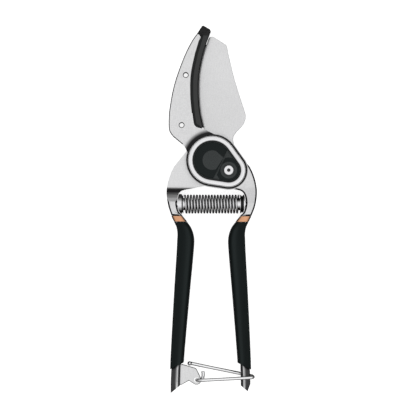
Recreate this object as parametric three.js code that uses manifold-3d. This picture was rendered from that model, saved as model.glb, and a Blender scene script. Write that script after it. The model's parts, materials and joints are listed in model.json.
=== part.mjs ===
// Anvil pruning shears, closed and latched. Millimetres. The pivot's axis is the Z axis and z = 0 is the
// table that the shears lie on. +Y points to the jaw tips, +Z out of the front face.
// The anvil lever carries the anvil jaw, the pivot boss and the right handle. The blade lever lies behind
// it and carries the blade and the left handle.

import * as THREE from 'three';
import { mergeVertices } from 'three/addons/utils/BufferGeometryUtils.js';
import Module from 'manifold-3d';

const wasm = await Module();
wasm.setup();

const group = new THREE.Group();
group.name = 'pruning_shears';

// ---- driving dimensions ----

const gap = 0.3; // between pieces that touch
const overshoot = 1; // how far a cutter runs past what it cuts

const midHeight = 8; // the plane between the two levers
const bladeThickness = 3.4;
const plateThickness = 3.6;
const armDepth = 11;
const tangDepth = 8;
const jawBottom = 3.4;
const jawTop = 10.3;
const stripBottom = 2.8;
const stripTop = 11.5;
const bossTop = 13;
const bezelTop = 15.3;

const bladeTop = midHeight - gap / 2;
const bladeBottom = bladeTop - bladeThickness;
const plateBottom = midHeight + gap / 2;
const plateTop = plateBottom + plateThickness;
const armBottom = midHeight - armDepth / 2;
const armTop = midHeight + armDepth / 2;

const coverBottom = bossTop + gap;
const coverTop = 15.8;

const hubRadius = 14.9; // the blade lever's round hub
const screwPlace = new THREE.Vector2(9.57, -5.8);
const rimRadius = 13.9; // the round end of the bright rim, a teardrop about the pivot and the cover screw
const rimTailRadius = 9.6;
const rimWidth = 1.9;
const coverOffset = -rimWidth - 1.5;
const flangeOffset = coverOffset + 0.9; // the cover's foot reaches under the rim
const flangeThickness = 0.35;
const bossLip = 0.2; // how far the boss stands out from the rim at its top
const bossFoot = 1.75; // and at the foot of the hollow round it
const bossHollow = 1.1; // that hollow's radius
const bossSlope = 46; // degrees, from the hollow up to the lip
const earClearRadius = 19.9; // the ear of the blade lever swings under the jaw's neck within this radius
const neckFootRadius = 19.5; // where the neck's sweep up to the boss begins

const stripWidth = 4.3;
const tongueBottom = 5.4;
const tongueTop = 7.6;
const edgeGap = 0.35; // between the blade's edge and the anvil strip, closed
const frontGrind = { width: 0.8, depth: 0.22 };
const backGrind = { width: 3, depth: 2.7 };

const boltRadius = 3.9;
const boltThreadRadius = 2.9;
const boltHeadRadius = 7.5;
const bushWall = 1;
const bushTop = bladeTop - 0.8;
const washerRadius = 9;
const washerThickness = 0.5;
const pocketRadius = 9.4;
const pocketFloor = 9.8;

const screwRadius = 1.3; // the cover screw, M3 less its thread
const screwHeadRadius = 2.85;
const screwBottom = 9.5;
const screwSeat = coverBottom + 1;

const springAxisY = -25.5;
const springRadius = 5.05; // to the middle of the wire
const springWire = 1;
const springLeft = -16.5;
const springRight = 15.95;
const springTurns = 18;

const collarTop = -32.6;
const collarBottom = -35.7;
const gripTop = -36;

const catchWireRadius = 0.95;
const catchHole = new THREE.Vector2(-9.1, -127.9);
const catchHoleRadius = 1.5;
const catchSheetBottom = 7;
const catchSheetTop = 9;

const mirrorShift = 0.8; // the left handle mirrors the right one, moved out by this
const leftTurn = THREE.MathUtils.degToRad(0.5); // and turned out by this about the pivot

// The line where the blade's edge meets the anvil strip, from the jaw's tip to its heel.
const cutLine = [
  [-1.9, 72.1],
  [-5.5, 62],
  [-7.9, 50],
  [-8.2, 38],
  [-7.3, 27.5],
  [-5.6, 19.6],
];

// ---- materials ----

function metal(color, roughness) {
  return new THREE.MeshStandardMaterial({ color, roughness, metalness: 1 });
}

function plastic(color, roughness) {
  return new THREE.MeshStandardMaterial({ color, roughness, metalness: 0 });
}

const brushedSteel = metal(0xd3d4d5, 0.35);
const polishedSteel = metal(0xe4e5e6, 0.15);
const springSteel = metal(0xb9bcbe, 0.2);
const copper = metal(0xd7a078, 0.3);
const bronze = metal(0xb08a4a, 0.35);
const blackGrip = plastic(0x1b2121, 0.45);
const blackNylon = plastic(0x202122, 0.5);

// ---- solids ----

function solid(geometry) {
  const bare = geometry.clone();
  bare.deleteAttribute('normal');
  bare.deleteAttribute('uv');
  const merged = mergeVertices(bare, 1e-5);
  return new wasm.Manifold(new wasm.Mesh({
    numProp: 3,
    vertProperties: new Float32Array(merged.attributes.position.array),
    triVerts: new Uint32Array(merged.index.array),
  }));
}

function geometryOf(manifold) {
  const mesh = manifold.getMesh();
  const geometry = new THREE.BufferGeometry();
  geometry.setAttribute('position', new THREE.BufferAttribute(mesh.vertProperties, 3));
  geometry.setIndex(new THREE.BufferAttribute(mesh.triVerts, 1));
  geometry.computeVertexNormals();
  return geometry;
}

function addPart(name, manifold, material) {
  const mesh = new THREE.Mesh(geometryOf(manifold), material);
  mesh.name = name;
  group.add(mesh);
}

// Each outline point moved in from both of its edges by a distance, as [from, to] pairs.
function insetPairs(outline, distance) {
  const inward = THREE.ShapeUtils.isClockWise(outline) ? -1 : 1;
  return outline.map((point, i) => {
    const before = outline.at(i - 1);
    const after = outline[(i + 1) % outline.length];
    const sides = [point.clone().sub(before), after.clone().sub(point)].map((edge) => edge.normalize());
    const normals = sides.map((edge) => new THREE.Vector2(-edge.y, edge.x).multiplyScalar(inward));
    const bisector = normals[0].clone().add(normals[1]).normalize();
    const reach = distance / Math.max(bisector.dot(normals[0]), 0.5);
    return [point, point.clone().addScaledVector(bisector, reach)];
  });
}

// The same outline with the gap added all round, for the hollow that a piece sits in.
function roomFor(shape, curveSegments = 4) {
  return new THREE.Shape(insetPairs(shape.getPoints(curveSegments), -gap).map(([, to]) => to));
}

// A flat outline raised from one height to another, with its edges cut back by the bevel. The tilt raises it
// towards -Y, by this much for each millimetre.
function plate(shape, bottom, top, curveSegments = 4, bevel = 0, bevelDepth = bevel, tilt = 0) {
  if (bevel === 0) {
    const plain = new THREE.ExtrudeGeometry(shape, { depth: top - bottom, curveSegments, bevelEnabled: false });
    return solid(plain.translate(0, 0, bottom));
  }
  const heights = [bottom, bottom + bevelDepth, top - bevelDepth, top];
  const pairs = insetPairs(shape.getPoints(curveSegments), bevel);
  const geometry = new THREE.ExtrudeGeometry(shape, { depth: 3, steps: 3, curveSegments, bevelEnabled: false });
  const place = geometry.attributes.position;
  for (let i = 0; i < place.count; i += 1) {
    const level = Math.round(place.getZ(i));
    const here = new THREE.Vector2(place.getX(i), place.getY(i));
    const [from, to] = pairs.reduce((best, pair) => (
      pair[0].distanceToSquared(here) < best[0].distanceToSquared(here) ? pair : best
    ));
    const spot = level === 0 || level === 3 ? to : from;
    place.setXYZ(i, spot.x, spot.y, heights[level] - tilt * spot.y);
  }
  return solid(geometry);
}

function disc(x, y, radius, bottom, top, sides = 48) {
  const geometry = new THREE.CylinderGeometry(radius, radius, top - bottom, sides);
  geometry.rotateX(Math.PI / 2);
  return solid(geometry.translate(x, y, (bottom + top) / 2));
}

function box(xRange, yRange, zRange) {
  const sizes = [xRange, yRange, zRange].map(([low, high]) => high - low);
  const middles = [xRange, yRange, zRange].map(([low, high]) => (high + low) / 2);
  return solid(new THREE.BoxGeometry(...sizes).translate(...middles));
}

// A profile of [radius, height] points turned about the Z axis.
function turned(profile, sides = 48) {
  const points = profile.map(([radius, height]) => new THREE.Vector2(radius, height));
  return solid(new THREE.LatheGeometry(points, sides).rotateX(Math.PI / 2));
}

// An outline drawn as (y, z), run along X from one side of the shears to the other.
function sideways(shape, halfLength) {
  const geometry = new THREE.ExtrudeGeometry(shape, {
    depth: 2 * halfLength,
    curveSegments: 8,
    bevelEnabled: false,
  });
  const toSide = new THREE.Matrix4().makeBasis(
    new THREE.Vector3(0, 1, 0),
    new THREE.Vector3(0, 0, 1),
    new THREE.Vector3(1, 0, 0),
  );
  return solid(geometry.applyMatrix4(toSide).translate(-halfLength, 0, 0));
}

function points(list, shiftX = 0) {
  return list.map(([x, y]) => new THREE.Vector2(x + shiftX, y));
}

// A teardrop: a large circle about the pivot and a small one about the cover screw, with their tangents.
function teardrop(radius, tailRadius) {
  const toTail = screwPlace.angle();
  const spread = Math.acos((radius - tailRadius) / screwPlace.length());
  const shape = new THREE.Shape();
  shape.absarc(0, 0, radius, toTail + spread, toTail - spread + 2 * Math.PI, false);
  shape.absarc(screwPlace.x, screwPlace.y, tailRadius, toTail - spread, toTail + spread, false);
  return shape;
}

// A profile of [offset from the rim, height] points swept round the teardrop, from its lowest point to its highest.
function sweptTeardrop(profile) {
  const levels = profile.map(([offset, height]) => ({
    outline: teardrop(rimRadius + offset, rimTailRadius + offset).getPoints(11),
    height,
  }));
  const corners = levels[0].outline.length - 1;
  const geometry = new THREE.CylinderGeometry(1, 1, 1, corners, profile.length - 1);
  geometry.rotateX(Math.PI / 2);
  const place = geometry.attributes.position;
  for (let i = 0; i < place.count; i += 1) {
    const level = levels[Math.round((place.getZ(i) + 0.5) * (profile.length - 1))];
    const turn = Math.atan2(place.getY(i), place.getX(i)) / (2 * Math.PI);
    const isCentre = Math.hypot(place.getX(i), place.getY(i)) < 0.5;
    const corner = level.outline[(Math.round(turn * corners) + corners) % corners];
    place.setXYZ(i, isCentre ? 0 : corner.x, isCentre ? 0 : corner.y, level.height);
  }
  return solid(geometry);
}

// [offset, height] points along a quarter of an ellipse, from one angle in degrees to another.
function curve(centre, width, height, from, to, steps = 5) {
  return Array.from({ length: steps + 1 }, (_, i) => {
    const angle = THREE.MathUtils.degToRad(from + (i / steps) * (to - from));
    return [centre[0] + width * Math.cos(angle), centre[1] + height * Math.sin(angle)];
  });
}

// ---- handles, drawn for the right one ----

function onSide(side, x, y) {
  if (side === 'right') {
    return new THREE.Vector2(x, y);
  }
  return new THREE.Vector2(-x - mirrorShift, y).rotateAround(new THREE.Vector2(), -leftTurn);
}

function sidePoints(side, list) {
  return list.map(([x, y]) => onSide(side, x, y));
}

// The arm from the boss, out round the spring and in again to the copper collar.
function armOutline(side) {
  const extra = side === 'right' ? 0.4 : 0; // the right arm stands out a little further
  const shape = new THREE.Shape();
  shape.setFromPoints(sidePoints(side, [[2, -14.6], [11.4 + extra, 8.9], [21.4 + extra, -3.8]]));
  shape.splineThru(sidePoints(side, [
    [23.2 + extra, -7.5],
    [24.9 + extra, -13],
    [25.6 + extra, -19],
    [24.6 + extra, -26.3],
    [22.6 + extra / 2, collarTop + gap],
  ]));
  const heel = onSide(side, 16.2, collarTop + gap);
  shape.lineTo(heel.x, heel.y);
  shape.splineThru(sidePoints(side, [
    [18.3, -30.2],
    [19.3, -27.2],
    [19.6, -24],
    [18.8, -20.2],
    [16.6, -17.8],
    [11, -16.5],
  ]));
  return shape;
}

// The arm's depth along Y: as thin as its lever by the pivot, then full depth from the spring down.
// One face slopes out gently. The other, which faces the crossing lever, steps out in a round.
const slopeFrom = -16;
const thickFrom = -25;
const armSlope = (armTop - plateTop) / (slopeFrom - thickFrom);

function armSide(side) {
  const swell = 5.5;
  const step = { from: -14.8, steep: -17.2, steepHeight: bladeTop + 3, to: -24.4 };
  const shape = new THREE.Shape();
  shape.moveTo(collarTop + gap, armBottom);
  shape.lineTo(thickFrom, armBottom);
  if (side === 'right') {
    shape.absellipse(thickFrom, plateBottom, swell, plateBottom - armBottom, -Math.PI / 2, 0, false);
    shape.lineTo(hubRadius, plateBottom);
    shape.lineTo(hubRadius, plateTop);
    shape.lineTo(slopeFrom, plateTop);
    shape.lineTo(thickFrom, armTop);
  } else {
    shape.lineTo(slopeFrom, bladeBottom);
    shape.lineTo(hubRadius, bladeBottom);
    shape.lineTo(hubRadius, bladeTop);
    shape.lineTo(step.from, bladeTop);
    shape.bezierCurveTo(step.steep - 0.4, bladeTop, step.steep + 0.4, step.steepHeight, step.to, armTop);
  }
  shape.lineTo(collarTop + gap, armTop);
  return shape;
}

// A run of cross-sections, each level with X: a station is [middle x, y, half width, half depth].
// Four sides make a rectangle. More make an ellipse, squarer as the squareness falls from 1 to 0. The facet
// slopes its faces down from a ridge, a share of the half width towards the other handle, to the side away
// from that handle, by this share of the depth for each half width.
function handleRun(side, stations, sides, steps, squareness = 1, facet = 0, ridge = 0) {
  const middles = new THREE.CatmullRomCurve3(stations.map(([x, y, width]) => new THREE.Vector3(x, y, width)));
  const depths = new THREE.CatmullRomCurve3(stations.map(([, y, , depth]) => new THREE.Vector3(0, y, depth)));
  const squared = (value) => (Math.abs(value) < 1e-6 ? 0 : Math.sign(value) * Math.abs(value) ** squareness);
  const start = sides === 4 ? Math.PI / 4 : 0;
  const reach = sides === 4 ? Math.SQRT2 : 1;
  const geometry = new THREE.CylinderGeometry(1, 1, 1, sides, steps, false, start);
  const place = geometry.attributes.position;
  for (let i = 0; i < place.count; i += 1) {
    const along = 0.5 - place.getY(i);
    const middle = middles.getPoint(along);
    const depth = depths.getPoint(along);
    const mirror = side === 'right' ? 1 : -1; // keeps the faces pointing out
    const across = mirror * squared(place.getX(i)); // 1 on the side away from the other handle
    const deepest = 1 - facet * Math.max(0, across + ridge);
    const forward = THREE.MathUtils.clamp(squared(place.getZ(i)), -deepest, deepest);
    const spot = onSide(side, middle.x + reach * middle.z * across, middle.y);
    place.setXYZ(i, spot.x, spot.y, midHeight + reach * depth.z * forward);
  }
  return solid(geometry);
}

// [middle x, y, half width, half depth]
const gripStations = [
  [17.3, gripTop, 3.8, 5.8],
  [15.5, -39, 4.2, 7.2],
  [14.5, -42.4, 4.6, 7.6],
  [14.2, -46.5, 5, 7.7],
  [14.35, -51, 5, 7.7],
  [16.2, -78, 4.6, 7.6],
  [18.55, -116, 3.95, 6.8],
  [18.85, -124, 3.85, 6.7],
];
const tangStations = [
  [20.2, -31.5, 1.7, tangDepth / 2],
  [17.9, collarBottom, 1.7, tangDepth / 2],
  [15.3, -39.8, 2, tangDepth / 2],
  [14.4, -44, 2, tangDepth / 2],
  [14.4, -50, 2, tangDepth / 2],
  [18.6, -116, 2, tangDepth / 2],
];
const endStations = [
  [18.5, -115, 2.2, tangDepth / 2],
  [19.2, -122, 2.75, tangDepth / 2],
  [19.5, -136, 2.75, tangDepth / 2],
];
const endShape = [24, 4, 0.6, 0.45, 0.2]; // sides, steps, squareness, facet and ridge
const gripShape = [28, 24, 0.55, 0.35, 0.2];
const collarStations = [
  [19.45, collarTop, 3.3, 5.1],
  [17.4, collarBottom, 3.85, 5.1],
];

// [x, y, degrees] of the slanting cuts that end the grip and the steel below it
const gripCut = [18.8, -119.7, 27];
const endCut = [19.4, -133.3, 40];
const cornerCut = [22.2, -130.1, -69]; // takes the outer corner off the right end

function widened(stations, extra) {
  return stations.map(([x, y, width, depth]) => [x, y, width + extra, depth + extra]);
}

// A box below a sloping line, to cut a handle's end at a slant: high on the inner side.
function slantCutter(side, x, y, degrees) {
  const size = 40;
  const geometry = new THREE.BoxGeometry(size, size, size);
  geometry.translate(0, -size / 2, midHeight);
  geometry.rotateZ(THREE.MathUtils.degToRad(side === 'right' ? -degrees : degrees));
  const spot = onSide(side, x, y);
  return solid(geometry.translate(spot.x, spot.y, 0));
}

// The hidden tang inside the grip, and the steel end that shows below it.
function tang(side) {
  let end = handleRun(side, endStations, ...endShape).subtract(slantCutter(side, ...endCut));
  if (side === 'right') {
    end = end.subtract(slantCutter(side, ...cornerCut));
  }
  return handleRun(side, tangStations, 4, 14).add(end);
}

function arm(side) {
  const bevel = 0.9;
  const halfLength = 40; // past both arms
  const outline = armOutline(side);
  const whole = plate(outline, armBottom, armTop, 4, bevel)
    .intersect(sideways(armSide(side), halfLength))
    .subtract(springStud(side, 2.2));
  if (side === 'left') {
    return whole;
  }
  const level = plate(outline, armBottom, plateTop, 4, bevel);
  const sloping = plate(outline, -armDepth, plateTop + armSlope * slopeFrom, 4, bevel, bevel, armSlope);
  return whole.intersect(level.add(sloping));
}

// A seat's stud, pressed into the arm; the arm's hole for it is a little wider.
function springStud(side, radius) {
  const length = 5;
  const middle = onSide(side, 19.9, springAxisY);
  const geometry = new THREE.CylinderGeometry(radius, radius, length, 16).rotateZ(Math.PI / 2);
  return solid(geometry.translate(middle.x, springAxisY, midHeight));
}

// ---- the anvil lever and what it carries ----

function jawOutline() {
  const shape = new THREE.Shape();
  shape.moveTo(6, 4);
  shape.lineTo(8.6, 11.2);
  shape.splineThru(points([[5.4, 13.3], [2.6, 14.5], [-0.6, 16], [-5.2, 18.3]]));
  shape.lineTo(-7, 20);
  shape.splineThru(points([...cutLine].reverse(), -1));
  shape.lineTo(-8.4, 74);
  shape.splineThru(points([[-9.5, 72.8], [-12.6, 68], [-17, 58.7], [-22.1, 44], [-24.8, 30], [-25.3, 22.5]]));
  shape.splineThru(points([[-25, 17.3], [-22.9, 13.9]]));
  shape.lineTo(-17.7, 9.6);
  shape.splineThru(points([[-15.9, 7.7], [-14.2, 4]]));
  return shape;
}

// The strip's side away from the blade: from its lower end, round the corner and up to the jaw's tip.
function addStripSide(shape) {
  const heel = cutLine.at(-1);
  const corner = [heel[0] - stripWidth - 0.7, heel[1] + 0.1];
  shape.lineTo(heel[0] - 2.8, heel[1] - 0.5);
  shape.quadraticCurveTo(corner[0] + 0.1, corner[1], corner[0] - 0.3, corner[1] + 2.4);
  shape.splineThru(points([...cutLine].reverse().slice(1, -1), -stripWidth));
  shape.lineTo(-6.8, 71.9);
}

// The strip's outline: along the cut line, round its lower end, back up, and over the jaw's tip.
function stripOutline() {
  const heel = cutLine.at(-1);
  const shape = new THREE.Shape();
  shape.setFromPoints(points([[-0.8, 74.9]]));
  shape.splineThru(points(cutLine));
  shape.lineTo(heel[0] - 0.3, heel[1] - 1);
  addStripSide(shape);
  shape.lineTo(-7.7, 73.5);
  shape.lineTo(-8.9, 73.5);
  shape.lineTo(-5.9, 78.1);
  shape.lineTo(-5.1, 78.3);
  shape.lineTo(-1.3, 76.1);
  return shape;
}

// The tongue on the strip's back, which a groove in the jaw holds.
function tongueOutline() {
  const reach = 1.6;
  const inside = [[-2.6, 70.3], ...cutLine.slice(1, -1)];
  const shape = new THREE.Shape();
  shape.setFromPoints(points([inside[0]], -stripWidth + 0.5));
  shape.splineThru(points(inside.slice(1), -stripWidth + 0.5));
  shape.lineTo(inside.at(-1)[0] - stripWidth - reach, inside.at(-1)[1]);
  shape.splineThru(points([...inside].reverse().slice(1), -stripWidth - reach));
  return shape;
}

function jawHole(x, y) {
  const radius = 1.3;
  const chamfer = 0.4;
  const profile = [
    [0, jawBottom - overshoot],
    [radius, jawBottom - overshoot],
    [radius, jawTop - chamfer],
    [radius + chamfer + overshoot, jawTop + overshoot],
    [0, jawTop + overshoot],
  ];
  return turned(profile, 20).translate(x, y, 0);
}

// The sweep from the boss's lip out to the flat of the jaw: a straight slope, then a hollow as wide as is left.
function neckFillet() {
  const bottom = plateBottom + 1;
  const inner = rimRadius - 2; // inside the boss
  const lip = rimRadius + bossLip;
  const slope = 38;
  const angle = THREE.MathUtils.degToRad(slope);
  const straightRise = (neckFootRadius - lip) * Math.tan(angle);
  const saved = Math.sin(angle) * Math.tan(angle) - (1 - Math.cos(angle)); // by the hollow, of its radius
  const hollow = (straightRise - (bossTop - jawTop)) / saved;
  return turned([
    [inner, bottom],
    [neckFootRadius, bottom],
    ...curve([neckFootRadius, jawTop + hollow], hollow, hollow, -90, -90 - slope, 7),
    [lip, bossTop],
    [inner, bossTop],
    [inner, bottom],
  ], 64);
}

function anvilLever() {
  const jaw = plate(jawOutline(), jawBottom, jawTop, 3, 0.5);
  const fillet = neckFillet().intersect(plate(jawOutline(), jawBottom, bezelTop, 3));
  const boss = sweptTeardrop([
    [bossFoot, plateBottom],
    ...curve([bossFoot, plateTop + bossHollow], bossHollow, bossHollow, -90, -90 - bossSlope, 3),
    [bossLip, bossTop],
  ]);
  const front = jaw.add(fillet).subtract(disc(0, 0, earClearRadius, 0, plateBottom));
  const pocket = disc(0, 0, pocketRadius, pocketFloor, bezelTop);
  const bore = disc(0, 0, boltRadius + gap, 0, bezelTop);
  const screwHole = disc(screwPlace.x, screwPlace.y, screwRadius + gap, screwBottom - gap, bezelTop, 16);
  return front
    .add(boss)
    .add(arm('right'))
    .add(tang('right'))
    .subtract(pocket)
    .subtract(bore)
    .subtract(screwHole)
    .subtract(plate(roomFor(stripOutline()), 0, bezelTop))
    .subtract(plate(roomFor(tongueOutline()), tongueBottom - gap, tongueTop + gap))
    .subtract(jawHole(-15.4, 49.6))
    .subtract(jawHole(-17.8, 20.5));
}

// Everything to the right of the strip's outer side, sloping down to that side at the top.
function stripSlope() {
  const slope = { width: 1.5, depth: 1.2 };
  const far = 20; // clear of the strip
  const [heelX, heelY] = cutLine.at(-1);
  const [tipX, tipY] = cutLine[0];
  const shape = new THREE.Shape();
  shape.moveTo(heelX, heelY - 4);
  addStripSide(shape);
  shape.lineTo(tipX - stripWidth - 3.3, tipY + 2);
  shape.lineTo(tipX - stripWidth - 3.3, tipY + far);
  shape.lineTo(tipX + far, tipY + far);
  shape.lineTo(tipX + far, heelY - 4);
  return plate(shape, stripBottom - far, stripTop, 4, slope.width, slope.depth);
}

const lipTop = 67.5; // the lip stops short of the blade's rounded corner

// The strip's lip, which runs out under the blade's edge.
function lipOutline() {
  const shape = new THREE.Shape();
  shape.setFromPoints(points([cutLine[0]], -1));
  shape.splineThru(points(cutLine.slice(1), -1));
  const [heelX, heelY] = cutLine.at(-1);
  shape.lineTo(heelX + edgeGap, heelY - 0.5);
  shape.splineThru(points([...cutLine].reverse(), 1));
  return shape;
}

function anvilStrip() {
  return plate(stripOutline(), stripBottom, stripTop, 4, 0.35)
    .intersect(stripSlope())
    .add(plate(tongueOutline(), tongueBottom, tongueTop))
    .add(plate(lipOutline(), stripBottom + 0.35, bladeBottom - gap).trimByPlane([0, -1, 0], -lipTop));
}

// ---- the blade lever ----

function bladeOutline() {
  const edge = points(cutLine, edgeGap);
  const shape = new THREE.Shape();
  shape.moveTo(-10, 4);
  shape.lineTo(-5.2, 17.6);
  shape.lineTo(-4.7, 19.2);
  shape.splineThru([...edge].reverse().slice(0, -1));
  shape.splineThru(points([[-2.4, 70.2], [-1.3, 71.6], [0.4, 71.9], [2, 71]]));
  shape.lineTo(7.6, 67.5);
  shape.splineThru(points([[8.6, 66.2], [9.6, 61], [13.3, 46], [18.6, 29.5]]));
  shape.splineThru(points([[19.5, 25.6], [18.2, 21], [13.6, 16]]));
  shape.splineThru(points([[12.2, 13.2], [12.4, 10.2], [14.1, 6]]));
  shape.lineTo(8, -4);
  return shape;
}

// Everything to the right of the blade's edge, ground on both faces along that edge.
function groundEdge() {
  const edge = points(cutLine, edgeGap);
  const beyond = 20; // clear of the blade
  const [left, right] = [-beyond, 2 * beyond];
  const heel = 16;
  const tip = 76;
  const shape = new THREE.Shape();
  shape.moveTo(-7, heel);
  shape.splineThru([...edge].reverse());
  shape.lineTo(-0.6, tip);
  shape.lineTo(right, tip);
  shape.lineTo(right, -beyond);
  shape.lineTo(left, -beyond);
  shape.lineTo(left, heel);
  const front = plate(shape, bladeBottom - beyond, bladeTop, 4, frontGrind.width, frontGrind.depth);
  const back = plate(shape, bladeBottom, bladeTop + beyond, 4, backGrind.width, backGrind.depth);
  return front.intersect(back);
}

function bladeLever() {
  const blade = plate(bladeOutline(), bladeBottom, bladeTop, 4, 0.15).intersect(groundEdge());
  const hub = disc(0, 0, hubRadius, bladeBottom, bladeTop, 64);
  const bore = disc(0, 0, boltRadius + 2 * gap + bushWall, 0, bezelTop);
  const washerRoom = disc(0, 0, washerRadius + gap, bladeTop - washerThickness - gap, bezelTop);
  const slot = box([-21.6, -10], [-131.2, -118], [catchSheetBottom - gap, catchSheetTop + gap]);
  return blade
    .add(hub)
    .add(arm('left'))
    .add(tang('left'))
    .subtract(bore)
    .subtract(washerRoom)
    .subtract(slot);
}

// ---- the pivot ----

function pivotBolt() {
  const headChamfer = 1;
  const headTop = bladeBottom - gap;
  const shankTop = pocketFloor - gap;
  const threadTop = bossTop - gap;
  return turned([
    [0, 0],
    [boltHeadRadius - headChamfer, 0],
    [boltHeadRadius, headChamfer],
    [boltHeadRadius, headTop],
    [boltRadius, headTop],
    [boltRadius, shankTop],
    [boltThreadRadius, shankTop],
    [boltThreadRadius, threadTop - 0.4],
    [boltThreadRadius - 0.4, threadTop],
    [0, threadTop],
  ], 32);
}

function ring(inner, outer, bottom, top, sides = 32) {
  return turned([[inner, bottom], [outer, bottom], [outer, top], [inner, top], [inner, bottom]], sides);
}

function waveWasher() {
  const thickness = 0.4;
  const wave = 0.15;
  const waves = 3;
  const middle = pocketFloor + gap + wave;
  const profile = [[3.3, 0], [7, 0], [7, thickness], [3.3, thickness], [3.3, 0]];
  const geometry = new THREE.LatheGeometry(profile.map(([x, y]) => new THREE.Vector2(x, y)), 48);
  geometry.rotateX(Math.PI / 2);
  const place = geometry.attributes.position;
  for (let i = 0; i < place.count; i += 1) {
    const angle = Math.atan2(place.getY(i), place.getX(i));
    place.setZ(i, place.getZ(i) + middle + wave * Math.sin(waves * angle));
  }
  return solid(geometry);
}

function adjustingNut() {
  const bottom = 11.1;
  const radius = 6.6; // to its corners
  const outer = solid(new THREE.CylinderGeometry(radius, radius, bossTop - bottom, 6).rotateX(Math.PI / 2));
  return outer
    .translate(0, 0, (bottom + bossTop) / 2)
    .subtract(disc(0, 0, boltThreadRadius + gap, 0, bezelTop, 32));
}

// ---- the cover over the nut ----

// The bright rim: flat on top, its outer edge eased, its inner edge a full round that overhangs the cover's foot.
function coverBezel() {
  const eased = 0.3;
  const innerRound = { width: 1.15, height: 1.4 };
  const outer = sweptTeardrop([
    [0, coverBottom],
    ...curve([-eased, bezelTop - eased], eased, eased, 0, 90, 3),
  ]);
  const opening = sweptTeardrop([
    [flangeOffset + gap, coverBottom - overshoot],
    [flangeOffset + gap, bezelTop - innerRound.height],
    ...curve([-rimWidth, bezelTop - innerRound.height], innerRound.width, innerRound.height, 180, 90),
    [-rimWidth, bezelTop + overshoot],
  ]);
  return outer.subtract(opening);
}

// The cover's raised flat: round, and cut off by two straight edges that meet towards the screw.
function coverFlat() {
  const radius = 5.65;
  const [from, to] = [66, 293].map(THREE.MathUtils.degToRad);
  const shape = new THREE.Shape();
  shape.absarc(0, 0, radius, from, to, false);
  shape.lineTo(radius + 0.85, 1.4);
  return shape;
}

// What lies beyond the straight groove that parts the flat from the screw's pad, from a distance right of it.
function besideGroove(distance) {
  const top = [7.5 + distance, 1.3];
  const bottom = [3.1 + distance, -7.6];
  const lean = (top[0] - bottom[0]) / (top[1] - bottom[1]);
  const far = 30;
  const shape = new THREE.Shape();
  shape.setFromPoints(points([
    [top[0] + lean * far, top[1] + far],
    [bottom[0] - lean * far, bottom[1] - far],
    [far, bottom[1] - far],
    [far, top[1] + far],
  ]));
  return plate(shape, coverBottom, bezelTop + overshoot, 4);
}

// A flat with sides that slope down to the rim, and a lower pad round the screw's recess.
function pivotCover() {
  const edgeTop = coverBottom + 0.6;
  const padTop = coverBottom + 1.6;
  const grooveWidth = 1;
  const slope = { width: 5.1, depth: coverTop - edgeTop + 0.1 };
  const padRadius = { top: 4.8, bottom: 7.4 };
  const hillBottom = coverBottom - 20; // the hill is cut off again at the cover's own bottom
  const edge = sweptTeardrop([
    [flangeOffset, coverBottom],
    [flangeOffset, coverBottom + flangeThickness],
    [coverOffset, coverBottom + flangeThickness],
    [coverOffset, edgeTop - 0.2],
    [coverOffset - 0.2, edgeTop],
  ]);
  const inside = sweptTeardrop([[coverOffset - 0.2, coverBottom], [coverOffset - 0.2, coverTop + overshoot]]);
  const foot = insetPairs(coverFlat().getPoints(14), -slope.width).map(([, to]) => to);
  const hill = plate(new THREE.Shape(foot), hillBottom, coverTop, 4, slope.width, slope.depth);
  const pad = turned([
    [0, coverBottom],
    [padRadius.bottom, coverBottom],
    [padRadius.bottom, edgeTop],
    [padRadius.top, padTop],
    [0, padTop],
  ], 64);
  const recess = disc(screwPlace.x, screwPlace.y, screwHeadRadius + 0.5, screwSeat - gap, bezelTop, 32);
  return hill
    .subtract(besideGroove(-grooveWidth))
    .add(pad.translate(screwPlace.x, screwPlace.y, 0).intersect(besideGroove(0)))
    .intersect(inside)
    .add(edge)
    .subtract(recess)
    .subtract(disc(screwPlace.x, screwPlace.y, screwRadius + 0.5, 0, bezelTop, 20));
}

function coverScrew() {
  const headHeight = 1.4;
  const eased = 0.25;
  const head = turned([
    [0, screwSeat],
    [screwHeadRadius, screwSeat],
    [screwHeadRadius, screwSeat + headHeight - eased],
    [screwHeadRadius - eased, screwSeat + headHeight],
    [0, screwSeat + headHeight],
  ], 32).translate(screwPlace.x, screwPlace.y, 0);
  const shank = disc(screwPlace.x, screwPlace.y, screwRadius, screwBottom, screwSeat + 0.2, 20);
  const socketRadius = 2 / Math.sqrt(3); // a 2 mm hexagon key
  const socket = disc(screwPlace.x, screwPlace.y, socketRadius, screwSeat + 0.4, screwSeat + 2, 6);
  return head.add(shank).subtract(socket);
}

// ---- the spring between the arms ----

class Coil extends THREE.Curve {
  getPoint(t, target = new THREE.Vector3()) {
    const half = springWire / 2;
    const angle = t * springTurns * 2 * Math.PI;
    return target.set(
      THREE.MathUtils.lerp(springLeft + half, springRight - half, t),
      springAxisY + springRadius * Math.cos(angle),
      midHeight + springRadius * Math.sin(angle),
    );
  }
}

function returnSpring() {
  const section = new THREE.Shape();
  section.absarc(0, 0, springWire / 2, 0, 2 * Math.PI, false);
  return solid(new THREE.ExtrudeGeometry(section, {
    extrudePath: new Coil(),
    steps: springTurns * 8,
    curveSegments: 3,
  }));
}

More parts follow.
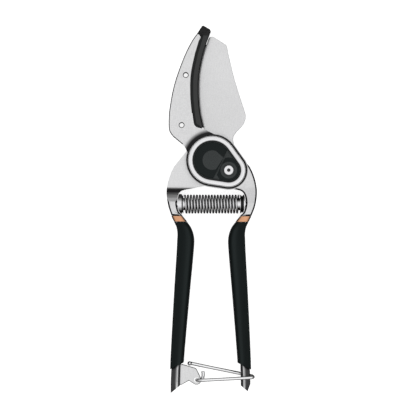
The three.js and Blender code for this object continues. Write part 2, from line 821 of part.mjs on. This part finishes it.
// A peg inside the spring, a flange that the spring bears on, a grooved neck, a body shaped to the arm behind
// it, and a stud into the arm.
function springSeat(side) {
  const towardArm = side === 'right' ? 1 : -1;
  const face = side === 'right' ? springRight + gap : springLeft - gap;
  const neck = side === 'right' ? 2.2 : 1;
  const back = side === 'right' ? 19.8 : 20.6; // as far as the body reaches from the middle
  const far = 40;
  const peg = { radius: 3.6, length: 2.7, eased: 1 };
  const body = { radius: 5.9, length: 6 };
  const profile = [
    [0, -peg.length],
    [peg.radius - peg.eased, -peg.length],
    [peg.radius, peg.eased - peg.length],
    [peg.radius, 0],
    [5.4, 0],
    [5.4, 0.3],
    [4.6, neck / 2],
    [body.radius, neck],
    [body.radius, body.length],
    [0, body.length],
  ];
  const seat = new THREE.LatheGeometry(points(profile), 40);
  seat.rotateZ(-towardArm * Math.PI / 2);
  seat.translate(face, springAxisY, midHeight);
  const room = plate(armOutline(side), 0, 2 * midHeight).translate(-towardArm * gap, 0, 0);
  const beyond = box(side === 'right' ? [back, far] : [-far, -back], [-far, 0], [0, 2 * midHeight]);
  return solid(seat).subtract(room).subtract(beyond).add(springStud(side, 1.9));
}

// ---- collars and grips ----

function collar(side) {
  return handleRun(side, collarStations, 24, 2, 0.4).subtract(handleRun(side, widened(tangStations, gap), 4, 14));
}

function grip(side) {
  return handleRun(side, gripStations, ...gripShape)
    .subtract(slantCutter(side, ...gripCut))
    .subtract(handleRun(side, widened(tangStations, gap), 4, 14))
    .subtract(handleRun(side, widened(endStations, gap), ...endShape));
}

// ---- the catch on the left steel end ----

function catchPlate() {
  const shape = new THREE.Shape();
  shape.moveTo(-21.2, -120);
  shape.lineTo(-17.6, -118.6);
  shape.lineTo(-10.4, -120.7);
  shape.quadraticCurveTo(-9.5, -121, -8.9, -121.9);
  shape.lineTo(-6.7, -126.4);
  shape.absarc(catchHole.x, catchHole.y, 2.7, 0.5, -2, true);
  shape.lineTo(-13.6, -128.2);
  shape.lineTo(-17.8, -130.6);
  shape.lineTo(-21.2, -130.6);
  const sheet = plate(shape, catchSheetBottom, catchSheetTop, 6, 0.35);
  return sheet.subtract(disc(catchHole.x, catchHole.y, catchHoleRadius, 0, 2 * midHeight, 24));
}

// One bent wire: from its tail behind the plate, through the hole, across the front of the right steel end,
// round that end and back behind it to the ball.
function catchWire() {
  const front = 13.4;
  const back = 2.6;
  const path = new THREE.CatmullRomCurve3([
    [-5.4, -122.9, 5.4],
    [-5.3, -125.4, 5.3],
    [-6, -127.6, 5.4],
    [-8.4, -127.9, 6],
    [-9.1, -127.9, 8],
    [-8.7, -127.9, 11.4],
    [-6.6, -127.8, 13.1],
    [-2, -127.6, front],
    [20.5, -126.4, front],
    [23.2, -126.2, 12.2],
    [23.8, -126.1, 8],
    [23.2, -125.7, 3.8],
    [20.5, -125.2, back],
    [14, -123.8, 2.9],
    [0, -120.9, 4.4],
    [-12.6, -118.2, 5.6],
  ].map((point) => new THREE.Vector3(...point)), false, 'catmullrom', 0.5);
  const section = new THREE.Shape();
  section.absarc(0, 0, catchWireRadius, 0, 2 * Math.PI, false);
  const wire = solid(new THREE.ExtrudeGeometry(section, { extrudePath: path, steps: 64, curveSegments: 4 }));
  const ball = solid(new THREE.SphereGeometry(1.25, 14, 10)).translate(-13.2, -118.3, 5.6);
  return wire.add(ball);
}

addPart('anvil_lever', anvilLever(), brushedSteel);
addPart('blade_lever', bladeLever(), brushedSteel);
addPart('anvil_strip', anvilStrip(), blackNylon);
addPart('pivot_bolt', pivotBolt(), polishedSteel);
addPart('pivot_bush', ring(boltRadius + gap, boltRadius + gap + bushWall, bladeBottom, bushTop), bronze);
addPart('pivot_washer', ring(boltRadius + gap, washerRadius, bladeTop - washerThickness, bladeTop), bronze);
addPart('wave_washer', waveWasher(), springSteel);
addPart('adjusting_nut', adjustingNut(), polishedSteel);
addPart('cover_bezel', coverBezel(), polishedSteel);
addPart('pivot_cover', pivotCover(), blackNylon);
addPart('cover_screw', coverScrew(), polishedSteel);
addPart('return_spring', returnSpring(), springSteel);
for (const side of ['left', 'right']) {
  addPart(`${side}_spring_seat`, springSeat(side), polishedSteel);
  addPart(`${side}_collar`, collar(side), copper);
  addPart(`${side}_grip`, grip(side), blackGrip);
}
addPart('catch_plate', catchPlate(), brushedSteel);
addPart('catch_wire', catchWire(), polishedSteel);

export default group;
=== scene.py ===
"""Looks for the anvil pruning shears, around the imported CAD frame. Metres. The shears lie closed on a pale
table, seen from straight above, as +Z points out of their front face and +Y to the jaw tips."""

import json
import math

import bmesh
import bpy
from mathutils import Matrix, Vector
from mathutils.geometry import convex_hull_2d


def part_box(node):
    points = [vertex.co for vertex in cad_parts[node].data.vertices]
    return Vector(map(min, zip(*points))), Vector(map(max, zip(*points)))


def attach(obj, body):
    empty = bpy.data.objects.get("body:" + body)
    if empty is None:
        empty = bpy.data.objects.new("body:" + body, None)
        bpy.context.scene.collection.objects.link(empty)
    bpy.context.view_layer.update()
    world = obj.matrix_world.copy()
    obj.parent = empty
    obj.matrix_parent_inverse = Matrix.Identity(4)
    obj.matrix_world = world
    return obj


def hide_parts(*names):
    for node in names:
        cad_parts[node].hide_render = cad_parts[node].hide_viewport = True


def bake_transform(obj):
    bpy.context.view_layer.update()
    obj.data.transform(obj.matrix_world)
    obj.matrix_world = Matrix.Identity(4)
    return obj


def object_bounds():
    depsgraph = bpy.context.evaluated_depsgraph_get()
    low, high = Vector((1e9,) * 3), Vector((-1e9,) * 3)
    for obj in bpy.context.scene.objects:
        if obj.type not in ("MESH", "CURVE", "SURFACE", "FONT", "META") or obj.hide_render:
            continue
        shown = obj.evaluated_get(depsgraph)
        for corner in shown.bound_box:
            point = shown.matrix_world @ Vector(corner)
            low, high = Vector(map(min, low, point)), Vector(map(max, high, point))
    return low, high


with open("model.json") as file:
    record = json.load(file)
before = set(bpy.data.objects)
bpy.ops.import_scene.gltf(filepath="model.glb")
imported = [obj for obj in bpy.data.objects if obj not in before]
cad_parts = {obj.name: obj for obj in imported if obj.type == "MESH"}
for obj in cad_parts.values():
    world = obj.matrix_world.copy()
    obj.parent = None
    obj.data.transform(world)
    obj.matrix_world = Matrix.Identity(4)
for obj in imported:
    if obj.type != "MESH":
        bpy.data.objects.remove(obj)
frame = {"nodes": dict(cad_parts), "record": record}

MM = 0.001
NODES = frame["nodes"]
cad_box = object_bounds()


# ---- materials ----


class Graph:
    """A material's node graph, with short calls for the nodes used here."""

    def __init__(self, name):
        self.material = bpy.data.materials.new(name)
        self.material.use_nodes = True
        self.tree = self.material.node_tree
        self.shader = self.tree.nodes["Principled BSDF"]
        self.place = self.tree.nodes.new("ShaderNodeTexCoord").outputs["Object"]

    def set(self, **values):
        """Sets the shader's own sockets, with _ for the space in a socket's name."""
        for name, value in values.items():
            self.shader.inputs[name.replace("_", " ")].default_value = value

    def add(self, kind, inputs=None, **settings):
        node = self.tree.nodes.new(kind)
        for name, value in settings.items():
            setattr(node, name, value)
        for name, value in (inputs or {}).items():
            if isinstance(value, bpy.types.NodeSocket):
                self.tree.links.new(value, node.inputs[name])
            else:
                node.inputs[name].default_value = value
        return node

    def link(self, output, name):
        self.tree.links.new(output, self.shader.inputs[name])

    def stretched(self, scale):
        """The piece's own coordinates, scaled by a number for each axis, per metre."""
        return self.add("ShaderNodeMapping", {"Vector": self.place, "Scale": scale}).outputs["Vector"]

    def noise(self, scale, detail=4.0, roughness=0.5, place=None):
        inputs = {"Vector": place or self.place, "Scale": scale, "Detail": detail, "Roughness": roughness}
        return self.add("ShaderNodeTexNoise", inputs).outputs["Fac"]

    def ramp(self, value, low, high, to_low=0.0, to_high=1.0):
        inputs = {"Value": value, "From Min": low, "From Max": high, "To Min": to_low, "To Max": to_high}
        return self.add("ShaderNodeMapRange", inputs).outputs["Result"]

    def maths(self, operation, first, second):
        return self.add("ShaderNodeMath", {0: first, 1: second}, operation=operation).outputs[0]

    def between(self, share, first, second):
        node = self.add("ShaderNodeMix", data_type="RGBA")
        self.tree.links.new(share, node.inputs["Factor"])
        for socket, value in ((node.inputs[6], first), (node.inputs[7], second)):
            if isinstance(value, bpy.types.NodeSocket):
                self.tree.links.new(value, socket)
            else:
                socket.default_value = (*value, 1.0)
        return node.outputs[2]

    def bump(self, height, strength, distance, under=None):
        inputs = {"Height": height, "Strength": strength, "Distance": distance}
        if under is not None:
            inputs["Normal"] = under
        return self.add("ShaderNodeBump", inputs).outputs["Normal"]

    def axis(self, index, vector):
        return self.add("ShaderNodeSeparateXYZ", {0: vector}).outputs[index]

    def upright(self, flat=0.95, wall=0.6):
        """How far a face stands up from flat: 0 on the flats, 1 on the walls, by its normal's height."""
        normal = self.add("ShaderNodeNewGeometry").outputs["Normal"]
        height = self.maths("ABSOLUTE", self.axis(2, normal), 0.0)
        return self.ramp(height, flat, wall)


def brushed_steel(name="brushed_steel", unshaded_from=None, slopes=(0.95, 0.6), ends_below=None):
    """Ground plate: fine strokes along the blade, a faint speckle and clouding. Its level faces and upright
    walls show the bright ground steel. Its slopes and bevels get painted shade, a darker colour, but not
    above a height along Y. On the handle ends, below another height, the painted shade reaches gentler slopes
    too."""
    g = Graph(name)
    g.set(Metallic=1.0)
    strokes = g.noise(1.0, 6.0, 0.65, g.stretched((4200.0, 260.0, 4200.0)))
    speckle = g.noise(1900.0, 3.0)
    clouds = g.noise(38.0, 3.0)
    tone = g.ramp(g.maths("ADD", strokes, speckle), 0.65, 1.35)
    flats = g.between(tone, (0.58, 0.58, 0.585), (0.75, 0.75, 0.755))
    dark = g.between(clouds, (0.03, 0.03, 0.031), (0.08, 0.08, 0.082))
    # painted shade: slopes and bevels darkened by how far their normal tilts
    vinyl_skin_and_painted_shade = g.upright(*slopes)
    if unshaded_from is not None:
        vinyl_skin_and_painted_shade = g.maths("MULTIPLY", vinyl_skin_and_painted_shade, g.ramp(g.axis(1, g.place), unshaded_from, unshaded_from - 2 * MM))
    if ends_below is not None:
        ends = g.ramp(g.axis(1, g.place), ends_below, ends_below - 1 * MM, 0.0, 0.9)
        vinyl_skin_and_painted_shade = g.maths("MAXIMUM", vinyl_skin_and_painted_shade, g.maths("MULTIPLY", ends, g.upright(0.97, 0.9)))
    vinyl_skin_and_painted_shade = g.maths("MULTIPLY", vinyl_skin_and_painted_shade, g.upright(0.2, 0.4))
    g.link(g.between(vinyl_skin_and_painted_shade, flats, dark), "Base Color")
    g.link(g.ramp(clouds, 0.3, 0.7, 0.28, 0.36), "Roughness")
    g.link(g.bump(strokes, 0.12, 0.00004, g.bump(speckle, 0.06, 0.00003)), "Normal")
    return g.material


def polished_steel(name="polished_steel", painted_shade_below=None, tones=(0.66, 0.78), painted_shade_sides=False):
    """Bright plated steel, with faint clouding and hairline scratches. What lies below a height, such as a
    key's socket, gets painted shade, a near-black colour, and so can the sides of a round piece."""
    g = Graph(name)
    g.set(Metallic=1.0)
    clouds = g.noise(90.0, 4.0)
    hairlines = g.noise(1.0, 3.0, 0.6, g.stretched((900.0, 9000.0, 900.0)))
    dull, bright = tones
    plated = g.between(clouds, (dull, dull, dull + 0.01), (bright, bright, bright + 0.01))
    if painted_shade_sides:
        # painted shade on the sides, by how far their normal tilts
        dark = g.between(clouds, (0.1, 0.1, 0.1), (0.16, 0.16, 0.16))
        plated = g.between(g.upright(0.96, 0.75), plated, dark)
    if painted_shade_below is not None:
        # painted shade in the recess below the given height
        deep = g.ramp(g.axis(2, g.place), painted_shade_below, painted_shade_below - 0.1 * MM)
        plated = g.between(deep, plated, g.between(clouds, (0.03, 0.03, 0.03), (0.08, 0.08, 0.08)))
    g.link(plated, "Base Color")
    g.link(g.ramp(hairlines, 0.35, 0.65, 0.10, 0.18), "Roughness")
    g.link(g.bump(hairlines, 0.05, 0.00002), "Normal")
    return g.material


def spring_steel(name="spring_steel", axis_point=None):
    """Drawn wire with die lines. Round an axis along X, the coils' outer side stays bright at the front and
    back, and painted shade darkens their other sides."""
    g = Graph(name)
    g.set(Metallic=1.0)
    lines = g.noise(1400.0, 5.0)
    drawn = g.between(lines, (0.60, 0.60, 0.61), (0.86, 0.86, 0.87))
    if axis_point is not None:
        from_axis = (0.0, -axis_point.y, -axis_point.z)
        inputs = {"Vector": g.place, "Location": from_axis, "Scale": (0.0, 1.0, 1.0)}
        away = g.add("ShaderNodeMapping", inputs).outputs["Vector"]
        away = g.add("ShaderNodeVectorMath", {0: away}, operation="NORMALIZE").outputs[0]
        normal = g.add("ShaderNodeNewGeometry").outputs["Normal"]
        product = g.add("ShaderNodeVectorMath", {0: away, 1: normal}, operation="DOT_PRODUCT")
        outward = product.outputs["Value"]
        height = g.maths("ABSOLUTE", g.axis(2, away), 0.0)
        # painted shade on the coils' inner faces and on their sides away from the front and back
        coil_painted_shade = g.maths("MAXIMUM", g.ramp(outward, 0.25, -0.15), g.ramp(height, 0.8, 0.35, 0.0, 0.85))
        drawn = g.between(coil_painted_shade, drawn, g.between(lines, (0.015, 0.015, 0.015), (0.05, 0.05, 0.05)))
    g.link(drawn, "Base Color")
    g.link(g.ramp(lines, 0.3, 0.7, 0.2, 0.3), "Roughness")
    g.link(g.bump(lines, 0.08, 0.00003), "Normal")
    return g.material


def copper():
    """Satin copper with painted shade on its sides: warm clouding and fine turning marks."""
    g = Graph("copper")
    g.set(Metallic=1.0)
    clouds = g.noise(320.0, 4.0)
    marks = g.noise(1.0, 4.0, 0.6, g.stretched((700.0, 6000.0, 700.0)))
    satin = g.between(clouds, (0.58, 0.285, 0.15), (0.74, 0.40, 0.235))
    # painted shade: the sides darkened by how far their normal tilts
    g.link(g.between(g.upright(0.88, 0.5), satin, (0.16, 0.07, 0.04)), "Base Color")
    g.link(g.ramp(marks, 0.3, 0.7, 0.24, 0.36), "Roughness")
    g.link(g.bump(marks, 0.12, 0.00003), "Normal")
    return g.material


def bronze():
    """Sintered bronze with fine pores."""
    g = Graph("bronze")
    g.set(Metallic=1.0)
    pores = g.noise(2400.0, 5.0)
    g.link(g.between(pores, (0.35, 0.22, 0.09), (0.52, 0.35, 0.15)), "Base Color")
    g.link(g.ramp(pores, 0.3, 0.7, 0.32, 0.5), "Roughness")
    g.link(g.bump(pores, 0.2, 0.00004), "Normal")
    return g.material


def black_grip():
    """Dipped soft vinyl: near black with a green cast, an even satin skin with fine flow lines."""
    g = Graph("black_grip")
    g.set(Specular_IOR_Level=0.22, Specular_Tint=(0.82, 1.0, 1.0, 1.0))
    flow = g.noise(1.0, 3.0, 0.5, g.stretched((900.0, 60.0, 900.0)))
    vinyl_skin_and_painted_shade = g.noise(2100.0, 4.0, 0.6)
    g.link(g.between(flow, (0.0030, 0.0045, 0.0046), (0.0060, 0.0085, 0.0086)), "Base Color")
    g.link(g.ramp(vinyl_skin_and_painted_shade, 0.3, 0.7, 0.26, 0.38), "Roughness")
    g.link(g.bump(vinyl_skin_and_painted_shade, 0.16, 0.00005, g.bump(flow, 0.08, 0.0001)), "Normal")
    return g.material


def black_nylon():
    """Moulded nylon with a fine grain and faint clouding. Its raised flats get a painted sheen, a little
    lighter than the slopes round them, which get painted shade and stay black."""
    g = Graph("black_nylon")
    g.set(Specular_IOR_Level=0.3, Specular_Tint=(0.85, 1.0, 1.0, 1.0))
    texture = g.noise(2400.0, 5.0, 0.65)
    clouds = g.noise(140.0, 3.0)
    flat_painted_sheen = g.between(clouds, (0.030, 0.031, 0.031), (0.042, 0.043, 0.043))
    slope_painted_shade = g.between(clouds, (0.002, 0.003, 0.003), (0.004, 0.006, 0.006))
    # painted sheen on the flats and painted shade on the slopes, by how far their normal tilts
    g.link(g.between(g.upright(0.995, 0.97), flat_painted_sheen, slope_painted_shade), "Base Color")
    g.link(g.ramp(texture, 0.3, 0.7, 0.22, 0.34), "Roughness")
    g.link(g.bump(texture, 0.3, 0.00004), "Normal")
    return g.material


def strip_nylon(cap_from):
    """The anvil strip's nylon: satin along the jaw, with a coarse dark grain on the cap over its tip."""
    g = Graph("strip_nylon")
    g.set(Specular_IOR_Level=0.5)
    texture = g.noise(1700.0, 5.0, 0.65)
    clouds = g.noise(140.0, 3.0)
    cap = g.ramp(g.axis(1, g.place), cap_from - 0.5 * MM, cap_from + 0.5 * MM)
    ribs = g.noise(1.0, 3.0, 0.6, g.stretched((500.0, 2400.0, 500.0)))
    satin = g.between(clouds, (0.006, 0.0068, 0.007), (0.012, 0.0135, 0.0138))
    g.link(g.between(cap, satin, g.between(ribs, (0.001, 0.001, 0.001), (0.01, 0.01, 0.01))), "Base Color")
    g.link(g.maths("ADD", g.ramp(texture, 0.3, 0.7, 0.26, 0.38), g.maths("MULTIPLY", cap, 0.25)), "Roughness")
    fine = g.bump(texture, 0.3, 0.00004)
    height = g.maths("MULTIPLY", ribs, cap)
    g.link(g.bump(height, 1.0, 0.0006, fine), "Normal")
    return g.material


MATERIALS = {
    "brushed_steel": brushed_steel(),
    "polished_steel": polished_steel(),
    "spring_steel": spring_steel(),
    "copper": copper(),
    "bronze": bronze(),
    "black_grip": black_grip(),
    "black_nylon": black_nylon(),
}
SLOTS = {entry["node"]: entry["material_slot"] for entry in frame["record"]["subparts"]}


def wear(piece, material):
    """Gives a piece one material for all its faces."""
    piece.data.materials.clear()
    piece.data.materials.append(material)


# ---- CAD nodes: joined corners and smooth shading ----

MERGE_DISTANCE = 0.002 * MM


def shading(angle):
    """A modifier's node group: joins the corners, shades curved faces smoothly, and keeps flats and creases
    sharp."""
    tree = bpy.data.node_groups.new(f"shading_{angle}", "GeometryNodeTree")
    tree.interface.new_socket("Geometry", in_out="INPUT", socket_type="NodeSocketGeometry")
    tree.interface.new_socket("Geometry", in_out="OUTPUT", socket_type="NodeSocketGeometry")
    start = tree.nodes.new("NodeGroupInput")
    merge = tree.nodes.new("GeometryNodeMergeByDistance")
    merge.inputs["Distance"].default_value = MERGE_DISTANCE
    smooth = tree.nodes.new("GeometryNodeSetShadeSmooth")
    flats = tree.nodes.new("GeometryNodeSetShadeSmooth")
    flats.inputs["Shade Smooth"].default_value = False
    creases = tree.nodes.new("GeometryNodeSetShadeSmooth")
    creases.domain = "EDGE"
    creases.inputs["Shade Smooth"].default_value = False
    end = tree.nodes.new("NodeGroupOutput")
    steps = [start, merge, smooth, flats, creases, end]
    for before, after in zip(steps, steps[1:]):
        tree.links.new(before.outputs[0], after.inputs[0])
    normal = tree.nodes.new("GeometryNodeInputNormal")
    split = tree.nodes.new("ShaderNodeSeparateXYZ")
    height = tree.nodes.new("ShaderNodeMath")
    height.operation = "ABSOLUTE"
    level = tree.nodes.new("FunctionNodeCompare")
    level.operation = "GREATER_THAN"
    level.inputs[1].default_value = 0.9999
    tree.links.new(normal.outputs[0], split.inputs[0])
    tree.links.new(split.outputs[2], height.inputs[0])
    tree.links.new(height.outputs[0], level.inputs[0])
    tree.links.new(level.outputs[0], flats.inputs["Selection"])
    bend = tree.nodes.new("GeometryNodeInputMeshEdgeAngle")
    sharper = tree.nodes.new("FunctionNodeCompare")
    sharper.operation = "GREATER_THAN"
    sharper.inputs[1].default_value = math.radians(angle)
    tree.links.new(bend.outputs[0], sharper.inputs[0])
    tree.links.new(sharper.outputs[0], creases.inputs["Selection"])
    return tree


CREASE = 36.0  # degrees; edges bent more than this stay sharp
CREASES = {"pivot_cover": 12.0, "anvil_lever": 25.0, "blade_lever": 25.0}
CAP_LENGTH = 5.6 * MM  # of the anvil strip
SOCKET_TOP = 0.3 * MM  # below the top of the cover screw's head
ENDS_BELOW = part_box("left_grip")[0].y + 4 * MM  # the handle ends' steel lies below this height
groups = {angle: shading(angle) for angle in {CREASE, *CREASES.values()}}
for node, piece in NODES.items():
    wear(piece, MATERIALS[SLOTS[node]])
    piece.modifiers.new("shading", "NODES").node_group = groups[CREASES.get(node, CREASE)]
wear(NODES["anvil_strip"], strip_nylon(cap_from=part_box("anvil_strip")[1].y - CAP_LENGTH))
wear(NODES["anvil_lever"], brushed_steel("anvil_steel", slopes=(0.985, 0.82), ends_below=ENDS_BELOW))
wear(NODES["blade_lever"], brushed_steel(
    "blade_steel", unshaded_from=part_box("anvil_strip")[0].y, slopes=(0.97, 0.75), ends_below=ENDS_BELOW,
))
# The screw's socket gets painted shade below its head's top.
wear(NODES["cover_screw"], polished_steel(
    "screw_steel", painted_shade_below=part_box("cover_screw")[1].z - SOCKET_TOP,
))
# The seats and the bezel get painted shade on their sides.
for turned in ("left_spring_seat", "right_spring_seat", "cover_bezel"):
    wear(NODES[turned], polished_steel(f"{turned}_steel", painted_shade_sides=True))


# ---- pieces finer than their CAD nodes ----


def tube(name, path, radius, sides=14):
    """A round wire along a path of points, with its section turned with the path and closed ends."""
    mesh = bpy.data.meshes.new(name)
    piece = bpy.data.objects.new(name, mesh)
    bpy.context.scene.collection.objects.link(piece)
    build = bmesh.new()
    rings = []
    normal = None
    for i, spot in enumerate(path):
        ahead = (path[min(i + 1, len(path) - 1)] - path[max(i - 1, 0)]).normalized()
        if normal is None:
            normal = ahead.orthogonal().normalized()
        normal = (normal - ahead * normal.dot(ahead)).normalized()
        side = ahead.cross(normal)
        turns = [2 * math.pi * k / sides for k in range(sides)]
        rings.append([
            build.verts.new(spot + radius * (normal * math.cos(turn) + side * math.sin(turn)))
            for turn in turns
        ])
    for low, high in zip(rings, rings[1:]):
        for k in range(sides):
            build.faces.new((low[k], low[(k + 1) % sides], high[(k + 1) % sides], high[k]))
    build.faces.new(list(reversed(rings[0])))
    build.faces.new(rings[-1])
    build.normal_update()
    build.to_mesh(mesh)
    build.free()
    for face in mesh.polygons:
        face.use_smooth = len(face.vertices) == 4
    return piece


SPRING_TURNS = 18
SPRING_WIRE = 1.15 * MM
SPRING_STEPS = 40  # of its path, for each turn


def return_spring():
    """The compression spring, a helix of the same outer size and turns as its CAD node."""
    low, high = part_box("return_spring")
    radius = (high.z - low.z - SPRING_WIRE) / 2
    middle = (low + high) / 2
    steps = SPRING_TURNS * SPRING_STEPS
    path = []
    for i in range(steps + 1):
        t = i / steps
        turn = 2 * math.pi * SPRING_TURNS * t
        x = low.x + SPRING_WIRE / 2 + (high.x - low.x - SPRING_WIRE) * t
        path.append(Vector((x, middle.y + radius * math.cos(turn), middle.z + radius * math.sin(turn))))
    piece = tube("return_spring_wire", path, SPRING_WIRE / 2)
    wear(piece, spring_steel("coil_steel", axis_point=middle))
    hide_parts("return_spring")
    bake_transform(piece)


# The bent wire's route, the same as its CAD node's, in millimetres.
CATCH_FRONT = 13.4
CATCH_BACK = 2.6
CATCH_ROUTE = (
    (-5.4, -122.9, 5.4), (-5.3, -125.4, 5.3), (-6.0, -127.6, 5.4), (-8.4, -127.9, 6.0),
    (-9.1, -127.9, 8.0), (-8.7, -127.9, 11.4), (-6.6, -127.8, 13.1), (-2.0, -127.6, CATCH_FRONT),
    (20.5, -126.4, CATCH_FRONT), (23.2, -126.2, 12.2), (23.8, -126.1, 8.0), (23.2, -125.7, 3.8),
    (20.5, -125.2, CATCH_BACK), (14.0, -123.8, 2.9), (0.0, -120.9, 4.4), (-12.6, -118.2, 5.6),
)
CATCH_RADIUS = 0.95 * MM
BALL_PLACE = (-13.2, -118.3, 5.6)
BALL_RADIUS = 1.25 * MM


def through(points, steps=10):
    """A smooth curve through points, a Catmull-Rom spline with the ends' neighbours mirrored."""
    spots = [2 * points[0] - points[1], *points, 2 * points[-1] - points[-2]]
    path = []
    for before, start, end, after in zip(spots, spots[1:], spots[2:], spots[3:]):
        for i in range(steps):
            t = i / steps
            path.append(
                start + 0.5 * t * ((end - before) + t * ((2 * before - 5 * start + 4 * end - after)
                                                         + t * (3 * start - before - 3 * end + after)))
            )
    return [*path, points[-1]]


def catch_wire():
    """The catch's bent wire in a true round section, with the ball on its free end."""
    path = through([Vector(place) * MM for place in CATCH_ROUTE])
    wire = tube("catch_wire_round", path, CATCH_RADIUS, sides=20)
    build = bmesh.new()
    build.from_mesh(wire.data)
    ball = bmesh.ops.create_uvsphere(build, u_segments=24, v_segments=14, radius=BALL_RADIUS)
    bmesh.ops.translate(build, verts=ball["verts"], vec=Vector(BALL_PLACE) * MM)
    for face in {face for vert in ball["verts"] for face in vert.link_faces}:
        face.smooth = True
    build.to_mesh(wire.data)
    build.free()
    wear(wire, polished_steel("catch_steel", tones=(0.88, 0.96)))
    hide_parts("catch_wire")
    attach(wire, "catch")


SEAM = 0.3 * MM  # the gap at each end of a collar
SEAM_INSET = 0.25 * MM


def seam_ring(node, top, body):
    """The black packing that fills the gap between a collar and what meets one of its ends."""
    spots = [vertex.co for vertex in NODES[node].data.vertices]
    edge = max(spot.y for spot in spots) if top else min(spot.y for spot in spots)
    end = [spot for spot in spots if abs(spot.y - edge) < 0.2 * MM]
    outline = [end[i] for i in convex_hull_2d([(spot.x, spot.z) for spot in end])]
    middle = sum(outline, Vector()) / len(outline)
    name = f"{node}_{'upper' if top else 'lower'}_packing"
    mesh = bpy.data.meshes.new(name)
    piece = bpy.data.objects.new(name, mesh)
    bpy.context.scene.collection.objects.link(piece)
    build = bmesh.new()
    rings = []
    for share in (0.15, 0.85):
        away = SEAM * (share if top else -share)
        rings.append([
            build.verts.new(spot + (middle - spot).normalized() * SEAM_INSET + Vector((0, away, 0)))
            for spot in outline
        ])
    count = len(outline)
    for k in range(count):
        build.faces.new((rings[0][k], rings[0][(k + 1) % count], rings[1][(k + 1) % count], rings[1][k]))
    build.faces.new(list(reversed(rings[0])))
    build.faces.new(rings[1])
    bmesh.ops.recalc_face_normals(build, faces=build.faces)
    build.to_mesh(mesh)
    build.free()
    wear(piece, MATERIALS["black_grip"])
    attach(piece, body)


return_spring()
catch_wire()
for collar, body in (("left_collar", "blade_side"), ("right_collar", "anvil_side")):
    for top in (True, False):
        seam_ring(collar, top, body)


# ---- floor, light and camera ----

VIEW_WIDTH = 0.2413  # what the picture's side spans at the shears' front
VIEW_MIDDLE = (-0.00246, -0.02776)  # the picture's middle, from the pivot
LENS = 320.0
SENSOR = 36.0


def floor():
    bpy.ops.mesh.primitive_plane_add(size=12.0, location=(0, 0, cad_box[0].z))
    plane = bpy.context.object
    plane.name = "table"
    plane.visible_glossy = False
    g = Graph("table_white")
    g.set(Roughness=0.9, Specular_IOR_Level=0.1, Base_Color=(0.9, 0.9, 0.9, 1.0))
    g.set(Emission_Color=(1.0, 1.0, 1.0, 1.0), Emission_Strength=0.8)
    wear(plane, g.material)


# The sky's brightness at shares of the way up from straight below to straight overhead.
SKY = (
    (0.0, 0.06), (0.5, 0.17), (0.63, 0.34), (0.75, 0.4), (0.86, 0.56), (0.94, 0.92), (0.97, 1.0), (1.0, 1.0),
)
SKY_STRENGTH = 1.05


def sky():
    """A light tent: a softbox overhead that fades towards dark sides."""
    world = bpy.data.worlds.new("studio")
    bpy.context.scene.world = world
    world.use_nodes = True
    tree = world.node_tree
    place = tree.nodes.new("ShaderNodeTexCoord")
    split = tree.nodes.new("ShaderNodeSeparateXYZ")
    share = tree.nodes.new("ShaderNodeMath")
    share.operation = "MULTIPLY_ADD"
    share.inputs[1].default_value = 0.5
    share.inputs[2].default_value = 0.5
    ramp = tree.nodes.new("ShaderNodeValToRGB")
    tree.links.new(place.outputs["Generated"], split.inputs[0])
    tree.links.new(split.outputs["Z"], share.inputs[0])
    tree.links.new(share.outputs[0], ramp.inputs["Fac"])
    tree.links.new(ramp.outputs["Color"], tree.nodes["Background"].inputs["Color"])
    stops = ramp.color_ramp.elements
    while len(stops) < len(SKY):
        stops.new(0.5)
    for stop, (position, value) in zip(stops, SKY):
        stop.position = position
        stop.color = (value, value, value, 1.0)
    tree.nodes["Background"].inputs["Strength"].default_value = SKY_STRENGTH


def softbox(name, place, size, power):
    data = bpy.data.lights.new(name, "AREA")
    data.shape = "RECTANGLE"
    data.size, data.size_y = size
    data.energy = power
    piece = bpy.data.objects.new(name, data)
    piece.location = place
    piece.rotation_euler = (-Vector(place)).to_track_quat("-Z", "Y").to_euler()
    bpy.context.scene.collection.objects.link(piece)


def camera():
    data = bpy.data.cameras.new("camera")
    data.lens = LENS
    data.sensor_width = SENSOR
    data.clip_end = 50.0
    piece = bpy.data.objects.new("camera", data)
    distance = VIEW_WIDTH / 2 / (SENSOR / 2 / LENS)
    piece.location = (*VIEW_MIDDLE, cad_box[1].z + distance)
    bpy.context.scene.collection.objects.link(piece)
    bpy.context.scene.camera = piece


floor()
sky()
softbox("overhead", (0.6, -0.5, 4.0), (1.6, 1.6), 1.0)
camera()
bpy.context.scene.view_settings.view_transform = "Standard"
